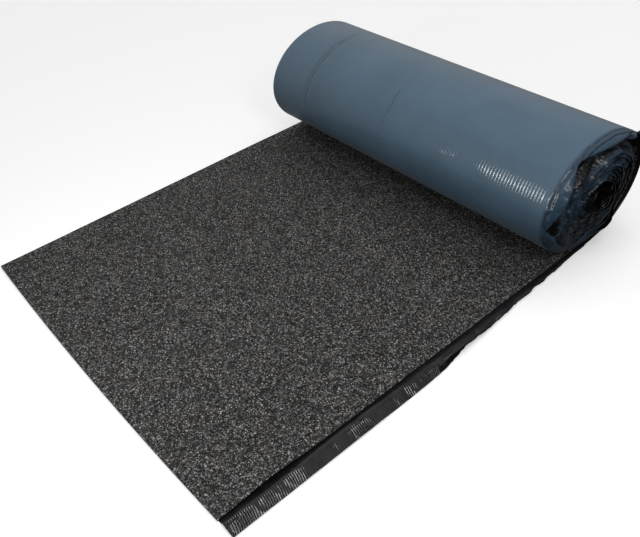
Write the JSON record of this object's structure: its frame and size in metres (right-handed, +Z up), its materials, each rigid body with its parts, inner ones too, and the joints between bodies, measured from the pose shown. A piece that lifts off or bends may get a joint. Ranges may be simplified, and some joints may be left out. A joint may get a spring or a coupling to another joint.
{
  "type": "roofing felt roll",
  "caption": "Loosely wound roll of mineral-faced bitumen roofing felt on its release film, partly unrolled so that one end lies flat.",
  "frame": {"origin": "On the floor, under the middle of the whole piece", "axes": "+X across the sheet, towards the edge where the film stands out; +Y along the sheet, from its free end towards the roll; +Z up"},
  "size_m": [1.045, 1.3152, 0.3057],
  "materials": {
    "mineral_felt": "matte slate granules bedded in black bitumen",
    "release_film": "thin ribbed film, grey-blue outside and black inside, satin to glossy"
  },
  "bodies": {
    "root": {"felt_sheet": "mineral_felt", "backing_film": "release_film"}
  },
  "joints": []
}
